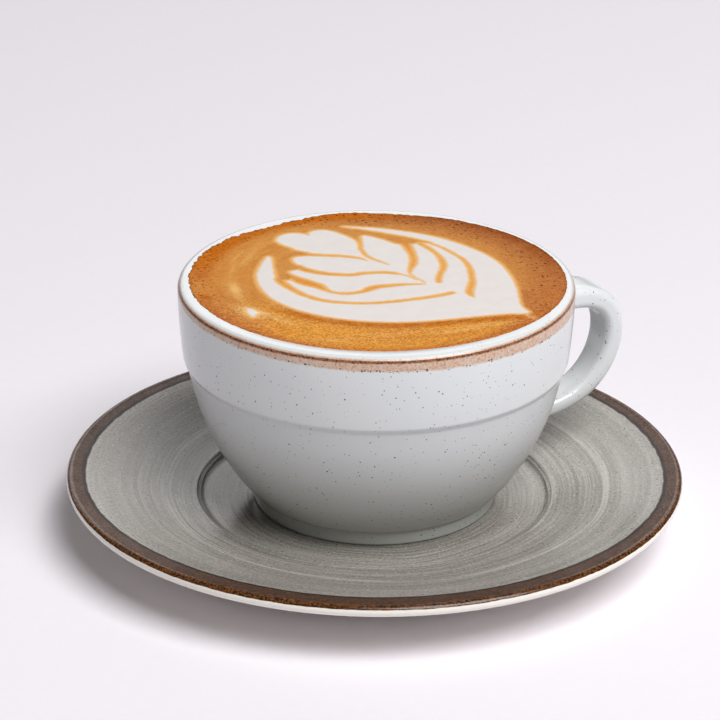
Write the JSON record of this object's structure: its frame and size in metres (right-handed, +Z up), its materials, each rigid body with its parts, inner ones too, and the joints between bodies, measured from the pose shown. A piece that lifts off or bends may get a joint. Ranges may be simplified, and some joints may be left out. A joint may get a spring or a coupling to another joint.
{
  "type": "latte in a cup with its saucer",
  "caption": "Latte with poured foam art, filled to the brim of a glazed stoneware cup with a strap handle, standing on its matching saucer.",
  "frame": {"origin": "bottom centre of the saucer's foot ring, on the surface it stands on, on the axis shared by saucer and cup", "axes": "+Z up through the cup, +X towards the cup's handle, +Y across the handle"},
  "size_m": [0.158, 0.158, 0.0675],
  "materials": {
    "saucer_glaze": "warm grey stoneware glaze with lighter brushed rings, fine speckles and a bare brown rim band, semi-gloss",
    "cup_glaze": "off-white glaze with scattered small dark specks and a tan speckled band under the rim, glossy",
    "latte": "milk coffee with brown crema and poured white milk foam, softly wet"
  },
  "bodies": {
    "root": {"saucer": "saucer_glaze", "cup": "cup_glaze", "latte": "latte"}
  },
  "joints": []
}
